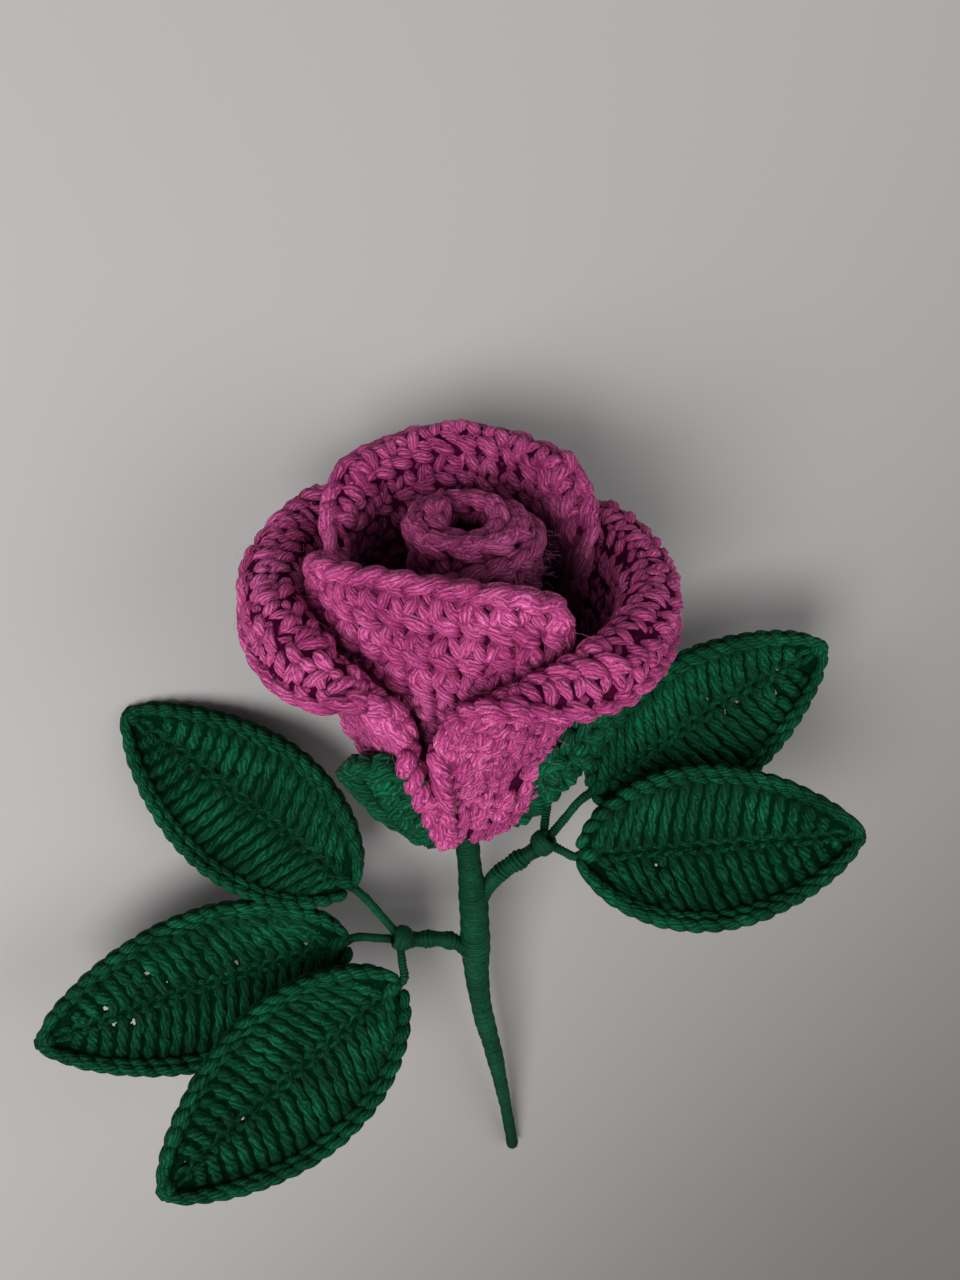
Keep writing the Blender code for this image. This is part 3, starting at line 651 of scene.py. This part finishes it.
def calyx_sheet(across, up):
    """Across goes once round the stem, and up runs from the ring's hole to the sepals' tips, with the first
    of its rows under the ring. Where the front petal's foot swells over the ring, the ring is sunk behind it,
    and the sepals beside it flare a little."""
    azimuth = across * 360.0
    top = np.full(np.shape(azimuth), CALYX_RIM)
    for centre, tip, before, after in SEPALS:
        off = (azimuth - centre + 180) % 360 - 180
        off = off / np.where(off > 0, after, before)
        top = top + (tip - CALYX_RIM) * np.clip(1 - off ** 2, 0, 1) ** SEPAL_ROUNDNESS
    share = (up * CALYX_ROWS - 1) / (CALYX_ROWS - 1)
    under = np.clip(-share * (CALYX_ROWS - 1), 0, 1)
    run = np.clip(share, 0, 1) * np.interp(top, calyx_heights, calyx_lengths)
    radius = np.interp(run, calyx_lengths, calyx_radii)
    radius = radius + (calyx_hole - radius) * under
    height = np.interp(run, calyx_lengths, calyx_heights)
    sunk = np.clip(1 - (azimuth - SINK_MIDDLE) ** 2 / SINK_REACH ** 2, 0, 1) ** 0.5 * SINK
    sunk = sunk * np.clip(1 - height / SINK_TOP, 0, 1)
    flare = sum(most * np.clip(1 - ((azimuth - centre) / reach) ** 2, 0, 1)
                for most, centre, reach in FLARES)
    radius = np.maximum(radius - sunk * SINK_IN, calyx_hole) + flare * np.clip(height / FLARE_TOP, 0, 1)
    return round_axis(np.radians(azimuth), radius, height + sunk * SINK_UP)


round_steps = np.linspace(0, 1, 200)
calyx_lines = crochet_face(calyx_sheet, 1, CALYX_COLUMNS, depth=0.3, **CALYX_STITCH)
calyx_lines += crochet_face(calyx_sheet, -1, CALYX_COLUMNS, low=0.4, **CALYX_STITCH)
calyx_lines += edge_chain(*sheet_edge(calyx_sheet, round_steps, np.full(200, EDGE_SHARE)), pitch=4.2,
                          radius=1.0)
# The calyx's middle sheet is drawn in dark green: painted shade in the gaps between its stitches.
calyx = piece_from("calyx_stitches", [strands("calyx", calyx_lines),
                                      backing("calyx", calyx_sheet, 96, 16, 0.7)], [calyx_yarn, green_gap_shade])
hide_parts("calyx")

# Stem: craft wire wound closely with green yarn, smooth where one layer covers it and thicker where the
# branches' ends are wound in. The yarn flares at the cut end, where the bare wire shows.
STEM_ROUTE = [(0.0, 0.0, 8.2), (0.0, 0.0, 0.0), (0.9, 0.0, -15.5), (1.9, 0.0, -30.0), (2.3, 0.0, -46.0),
              (2.7, 0.0, -57.0), (4.1, 0.0, -71.0), (7.0, 0.0, -88.0), (10.2, 0.0, -111.0),
              (12.2, 0.0, -128.0), (12.7, 0.0, -132.5)]
WRAP_RADII = [2.4, 2.5, 2.6, 3.3, 3.4, 2.8, 2.5, 2.2, 1.6, 1.55, 1.8]
WINDING_YARN = 0.5
ASKEW = (0.31, 0.9, 0.27)
WIRE_GREY, SCRATCH_SCALE = (0.55, 0.55, 0.56, 1), 2400.0
stem_yarn = yarn("wound_green_yarn", (0.0, 0.010, 0.004, 1), (0.001, 0.036, 0.015, 1),
                 (0.004, 0.085, 0.04, 1), plies=4, lean=9.0, roughness=0.5, gloss=0.08, relief=0.0001)
wire_finish, wire_shader, wire_start = material_start("drawn_wire")
wire_place = wire_start.node("ShaderNodeTexCoord", {}, "Object")
wire_scratch = wire_start.node("ShaderNodeTexNoise", {}, "Fac", Vector=wire_place, Scale=SCRATCH_SCALE,
                               Detail=2.0)
wire_start.feed(wire_shader.inputs["Roughness"], wire_scratch * 0.3 + 0.2)
wire_start.feed(wire_shader.inputs["Base Color"], WIRE_GREY)
wire_start.feed(wire_shader.inputs["Metallic"], 1.0)
for node_name, node in frame["nodes"].items():
    if node_name.endswith("wire") or "_wire_" in node_name:
        for slot in node.material_slots:
            slot.material = wire_finish


def winding(route, radii, pitch, wobble, thread, points_a_turn=11):
    """Yarn wound round a route: one long helix whose turns touch, out to about the given radii."""
    route, radii = np.asarray(route, float), np.asarray(radii, float)
    length = path_length(route)
    turns = length[-1] / pitch
    share = np.linspace(0, 1, max(8, int(turns * points_a_turn)))
    here = points_at(share * length[-1], length, route)
    along = np.gradient(here, axis=0)
    along /= np.linalg.norm(along, axis=1)[:, None]
    side = np.cross(along, ASKEW)
    side /= np.linalg.norm(side, axis=1)[:, None]
    other = np.cross(along, side)
    angle = share * turns * math.tau
    bumps = 1 + wobble * np.sin(angle * 0.13 + route[0][0]) * np.sin(angle * 0.071 + 1.0)
    reach = (np.interp(share * length[-1], length, radii) * bumps - thread * 0.8)[:, None]
    points = here + side * np.cos(angle)[:, None] * reach + other * np.sin(angle)[:, None] * reach
    return points, np.full(len(points), thread * 1.1)


def wound(name, node, route, radii, pitch=0.95, wobble=0.06, thread=WINDING_YARN):
    """A winding with the layer under it, which fills the grooves between its turns."""
    under = [(np.asarray(route, float), np.asarray(radii, float) - thread * 0.1)]
    made = piece_from(name, [strands(name, [winding(route, radii, pitch, wobble, thread)]),
                             strands(name, under, 2)], [stem_yarn])
    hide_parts(node)


stem_points = spline(STEM_ROUTE, 120)
stem_radii = spline([(r, 0, 0) for r in WRAP_RADII], 120)[:, 0]
wound("stem_winding", "stem_wrap", stem_points, stem_radii)

# Branches: each is a wire wound with the same yarn, less evenly, out to the place where three leaf stalks are
# bound to it with a knot of a few tight turns.
BRANCH_RADIUS = 1.9
BINDING_RADIUS = 3.0
KNOT_INSET = 0.6
KNOT_TURNS, KNOT_YARN = 9, 0.8
KNOT_TILT, KNOT_SHIFT, KNOT_SINK = 0.45, 1.3, 0.75
HEART_RADII = [1.2, 2.0, 2.3, 2.0, 1.2]

# Each branch: where it leaves the stem, its knot, and how far it bows.
BRANCHES = {"left": ((2.3, 0.0, -45.5), LEFT_NODE, (0.0, 0.0, 1.6)),
            "right": ((1.9, 0.0, -30.0), RIGHT_NODE, (-1.2, 0.0, 1.2))}
for hand, (joint, node, bow) in BRANCHES.items():
    joint, node, bow = (np.array(p) for p in (joint, node, bow))
    ahead = (node - joint) / np.linalg.norm(node - joint)
    end = node - ahead * (BINDING_RADIUS - KNOT_INSET)
    branch = spline([joint + ahead * 1.5, (joint + end) / 2 + bow, end], 30)
    swell = BRANCH_RADIUS * (1 + 0.08 * np.sin(2.4 * np.linspace(0, 8, 30)))
    wound(hand + "_branch_winding", hand + "_branch_wrap", branch, swell, pitch=1.1, wobble=0.2)
    turns = []
    for k in range(KNOT_TURNS):
        tilt = Vector(chance.uniform(-1, 1, 3))
        axis = (Vector(ahead) + tilt * KNOT_TILT).normalized()
        side = axis.orthogonal().normalized()
        other = axis.cross(side)
        offset = chance.uniform(-KNOT_SHIFT, KNOT_SHIFT)
        reach = math.sqrt((BINDING_RADIUS - KNOT_SINK) ** 2 - offset ** 2)
        ring = [Vector(node) + axis * offset + side * reach * math.cos(a) + other * reach * math.sin(a)
                for a in np.linspace(0, math.tau, 17)]
        turns.append((np.array([p[:] for p in ring]), np.full(17, KNOT_YARN)))
    # The knot's heart is a core of dark green among its turns: painted shade between them.
    heart = (np.array([node + ahead * step for step in (-1.5, -0.8, 0.0, 0.8, 1.5)]), HEART_RADII)
    knot = piece_from(hand + "_knot", [strands(hand + "_knot", turns),
                                       strands(hand + "_heart", [heart], 2)], [stem_yarn, green_gap_shade])
    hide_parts(hand + "_binding")

# Leaves: plump ribs of green yarn run from the midrib to the border, slanting forward, and two chains of
# slanting loops make the border. The blade is cupped along its midrib, small holes show beside it, and its
# stalk, a thin wire wound with yarn, is bound into the branch's knot.
STALK_RADIUS, STALK_YARN, STALK_TUCK = 0.95, 0.34, 0.6
LEAF_WIDTH = 33.0
LEAF_CUP, LEAF_BOW = 5.0, 3.0
LEAF_FOOT_WIDTH, LEAF_TIP_WIDTH = 3.4, 2.4
BLADE_FACING = Vector((0.0, -0.829, 0.559))

# Each leaf: the knot that its stalk leaves, its foot, its tip and its turn about its midrib in degrees. Each
# hole: its share of the way along the blade, and its place across it from -1 to 1.
LEAVES = {
    "left_upper": (LEFT_NODE, (-26.5, 1.9, -25.6), (-74.0, 18.0, 11.0), 0.0),
    "left_middle": (LEFT_NODE, (-27.8, -4.3, -37.5), (-91.5, -24.5, -45.5), 0.0),
    "left_lower": (LEFT_NODE, (-15.6, -12.2, -43.0), (-61.0, -49.0, -59.5), 0.0),
    "right_upper": (RIGHT_NODE, (28.9, 10.3, -4.2), (80.0, 30.0, 21.0), 15.0),
    "right_lower": (RIGHT_NODE, (25.9, 0.2, -14.4), (84.0, -2.0, -5.5), -12.0),
    "right_back": (RIGHT_NODE, (19.0, 16.5, -2.0), (18.0, 46.0, 50.0), 0.0),
}
HOLES = {
    "left_upper": [(0.72, -0.15), (0.68, -0.03), (0.64, 0.08), (0.59, 0.23)],
    "left_middle": [(0.65, 0.48), (0.61, 0.22), (0.59, -0.05), (0.80, 0.20), (0.79, -0.13), (0.73, -0.22),
                    (0.37, 0.17), (0.13, 0.18)],
    "left_lower": [(0.38, 0.28), (0.28, 0.03), (0.69, -0.02), (0.91, 0.17)],
    "right_upper": [(0.83, -0.03), (0.76, 0.05), (0.70, 0.07), (0.78, 0.38), (0.64, 0.10), (0.58, 0.15),
                    (0.54, -0.17)],
    "right_lower": [(0.28, 0.22)],
    "right_back": [(0.62, 0.12), (0.55, -0.14)],
}
HOLE_RADIUS = 0.6

# Ribs, and the border's chains by their place across the blade and their thickness.
TIP_KNOT = [1.0, 2.0, 2.3, 2.0, 1.1]
FOOT_KNOT = [0.9, 1.5, 1.9, 1.7, 0.9]
RIB_PITCH, RIB_RADIUS, RIB_POINTS = 3.0, 1.5, 12
RIB_LEAN, RIB_STAGGER, RIB_JITTER = 0.075, 0.3, 0.003
RIB_BEND, RIB_SLANT = 1.4, 1.25
RIB_WAVE, RIB_THIN, RIB_BULGE = 0.25, 0.74, 0.36
LAST_RIB = 0.96
BORDER_WIDTH, BORDER_OVERLAP, NARROWEST = 3.6, 0.4, 0.65
BORDER_ROWS = [(1.0, 1.0), (1 - BORDER_WIDTH * 0.45 / (LEAF_WIDTH / 2), 0.85)]
MIDRIB_CHAIN = {"pitch": 3.3, "radius": 0.75, "reach": 0.9}
BLADE_LONG, BLADE_WIDE = 0.96, 1.9
leaf_yarn = yarn("leaf_green_yarn", (0.0, 0.006, 0.002, 1), (0.001, 0.041, 0.0155, 1),
                 (0.006, 0.15, 0.065, 1), plies=6, lean=0.7, roughness=0.6, gloss=0.06, relief=0.0005)


def leaf_sheet(foot, tip, turn):
    """A function from (share along, -1 to 1 across) to points of the blade's middle."""
    foot, tip = Vector(foot), Vector(tip)
    midrib = (tip - foot).normalized()
    side = midrib.cross(BLADE_FACING).normalized()
    side.rotate(Matrix.Rotation(math.radians(turn), 3, midrib))
    face = np.array(side.cross(midrib))
    foot, tip, side = np.array(foot), np.array(tip), np.array(side)

    def half_width(along):
        inside = np.clip(along, 0, 1)
        swell = np.abs(np.sin(math.pi * inside ** 0.85)) ** 0.72
        ends = LEAF_FOOT_WIDTH + (LEAF_TIP_WIDTH - LEAF_FOOT_WIDTH) * inside
        return (ends + (LEAF_WIDTH - ends) * swell) / 2, swell

    def sheet(along, across):
        half, swell = half_width(along)
        lift = LEAF_CUP * swell * across ** 2 - LEAF_BOW * np.sin(math.pi * along)
        return (foot + (tip - foot) * along[..., None] + side * (half * across)[..., None]
                + face * lift[..., None])

    return sheet, half_width, float(np.linalg.norm(tip - foot))


def crochet_leaf(name, foot, tip, turn):
    """A leaf: its ribs, the two chains of its border, its midrib, the knots at its ends and its middle.
    Strands that would close a hole are pushed aside."""
    sheet, half_width, long = leaf_sheet(foot, tip, turn)
    lines = []
    ribs = int(long / RIB_PITCH)
    beads = np.arange(RIB_POINTS)
    shares = np.linspace(0.02, 1, RIB_POINTS)
    for k in range(1, ribs):
        for hand in (1, -1):
            start = (k + RIB_STAGGER * hand) / ribs
            half = float(half_width(np.array([start + RIB_LEAN]))[0][0])
            reach = (half - BORDER_WIDTH * BORDER_OVERLAP) / half
            if half < BORDER_WIDTH * NARROWEST or start > LAST_RIB:
                continue
            along = start + RIB_LEAN * shares ** RIB_BEND * (RIB_SLANT - start)
            along = along + chance.uniform(-RIB_JITTER, RIB_JITTER)
            points = lifted(sheet, np.clip(along, 0, 1), hand * shares * reach,
                            RIB_WAVE * np.sin(beads * 1.5 + k * 2.0))
            radii = RIB_RADIUS * (RIB_THIN + RIB_BULGE * np.abs(np.sin(beads * 0.95 + k * 1.7 + hand)))
            radii[0] *= 0.6
            radii[-1] *= 0.7
            lines.append((points, radii))
    steps = np.linspace(0.0, 1, 110)
    for share, size in BORDER_ROWS:
        there_and_back = np.concatenate([steps, steps[::-1]])
        loop = sheet(there_and_back, np.repeat([share, -share], len(steps)))
        centre = sheet(there_and_back, np.zeros(len(there_and_back)))
        outward = loop - centre
        outward /= np.maximum(np.linalg.norm(outward, axis=1), 1e-6)[:, None]
        ahead = np.gradient(loop, axis=0)
        normal = np.cross(ahead, outward)
        normal /= np.maximum(np.linalg.norm(normal, axis=1), 1e-6)[:, None]
        lines += edge_chain(loop, outward, normal, pitch=3.7, radius=size, reach=0.85)
    steps = np.linspace(0.01, 0.97, 60)
    midrib = sheet(steps, np.zeros(60))
    sideways = sheet(steps, np.full(60, 0.1)) - midrib
    sideways /= np.linalg.norm(sideways, axis=1)[:, None]
    normal = lifted(sheet, steps, np.zeros(60), np.ones(60)) - midrib
    for face in (normal, -normal):
        lines += edge_chain(midrib, face, sideways, **MIDRIB_CHAIN)
    lines.append((sheet(np.linspace(0.96, 1.03, 5), np.zeros(5)), TIP_KNOT))
    lines.append((sheet(np.linspace(-0.025, 0.07, 5), np.zeros(5)), FOOT_KNOT))
    holes = [sheet(np.array(along), np.array(across)) for along, across in HOLES[name]]
    for points, radii in lines:
        for hole in holes:
            away = points - hole
            far = np.linalg.norm(away, axis=1)
            clear = HOLE_RADIUS + 0.9 * np.asarray(radii)
            near = far < clear
            points[near] = hole + away[near] * (clear[near] / far[near])[:, None]
    # The blade's middle sheet is drawn in dark green: painted shade in the gaps between its ribs, apart from
    # its holes.
    blade_middle = backing(name, sheet, 90, 48, 0.7, BLADE_LONG, BLADE_WIDE, 0.0, holes, HOLE_RADIUS * 1.2)
    made = piece_from("leaf_" + name + "_stitches", [strands(name, lines), blade_middle],
                      [leaf_yarn, green_gap_shade])
    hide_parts("leaf_" + name)
    return sheet


for leaf_name, (leaf_node, leaf_foot, leaf_tip, leaf_turn) in LEAVES.items():
    blade = crochet_leaf(leaf_name, leaf_foot, leaf_tip, leaf_turn)
    node, foot = np.array(leaf_node), np.array(leaf_foot)
    entry = blade(np.array([0.05]), np.array([0.0]))[0] - foot
    entry /= np.linalg.norm(entry)
    start = node + (foot - node) / np.linalg.norm(foot - node) * (BINDING_RADIUS - KNOT_INSET)
    end = foot + entry * STALK_TUCK
    reach = np.linalg.norm(end - start) / 3
    bend = end - entry * reach
    stalk = spline([start, (start + bend) / 2, bend, end], 16)
    wound("stalk_" + leaf_name + "_winding", "stalk_" + leaf_name, stalk, np.full(16, STALK_RADIUS),
          pitch=0.7, wobble=0.1, thread=STALK_YARN)

# Table and light: a plain grey top that fills the view, its colour painted with light and shade, pale on the
# far left and darker on the near right, with a large soft lamp high on the left and a weaker one on the
# right.
TABLE_HALF = 1.2
TABLE_DARK, TABLE_PALE = (0.10, 0.09, 0.086, 1), (0.345, 0.331, 0.326, 1)
TABLE_SLOPE, TABLE_SHIFT, CLOUD_SHARE = 5.0, 0.6, 0.1
SKY, SKY_STRENGTH = (0.95, 0.97, 1.0, 1), 0.22
bm = bmesh.new()
bmesh.ops.create_grid(bm, x_segments=1, y_segments=1, size=TABLE_HALF)
table_mesh = bpy.data.meshes.new("table_top")
bm.to_mesh(table_mesh)
bm.free()
table = bpy.data.objects.new("table_top", table_mesh)
bpy.context.scene.collection.objects.link(table)
table_finish, table_shader, table_start = material_start("pale_grey_top")
table_place = table_start.node("ShaderNodeTexCoord", {}, "Object")
table_axes = table_start.node("ShaderNodeSeparateXYZ", {}, "X", Vector=table_place)
# Painted light and shade: the top is drawn pale on the far left and dark on the near right.
table_lit = ((table_axes.output("Y") - table_axes) * TABLE_SLOPE + TABLE_SHIFT).ramp()
table_cloud = table_start.node("ShaderNodeTexNoise", {}, "Fac", Vector=table_place, Scale=6.0, Detail=1.0)
table_tone = table_lit * (1.0 - CLOUD_SHARE) + table_cloud * CLOUD_SHARE
table_start.feed(table_shader.inputs["Base Color"], table_tone.blend(TABLE_DARK, TABLE_PALE))
table_start.feed(table_shader.inputs["Roughness"], 0.7)
table_mesh.materials.append(table_finish)


def lamp(name, place, size, power):
    light = bpy.data.lights.new(name, "AREA")
    light.size = size
    light.energy = power
    holder = bpy.data.objects.new(name, light)
    holder.location = place
    holder.rotation_euler = (-Vector(place)).to_track_quat("-Z", "Y").to_euler()
    bpy.context.scene.collection.objects.link(holder)


lamp("window", (-0.5, -0.05, 0.85), 0.6, 12.3)
lamp("room", (0.75, 0.0, 0.75), 0.9, 5.5)
world = bpy.data.worlds.new("room_light")
world.use_nodes = True
sky = world.node_tree.nodes["Background"]
sky.inputs["Color"].default_value = SKY
sky.inputs["Strength"].default_value = SKY_STRENGTH
bpy.context.scene.world = world
bpy.context.scene.view_settings.view_transform = "Standard"
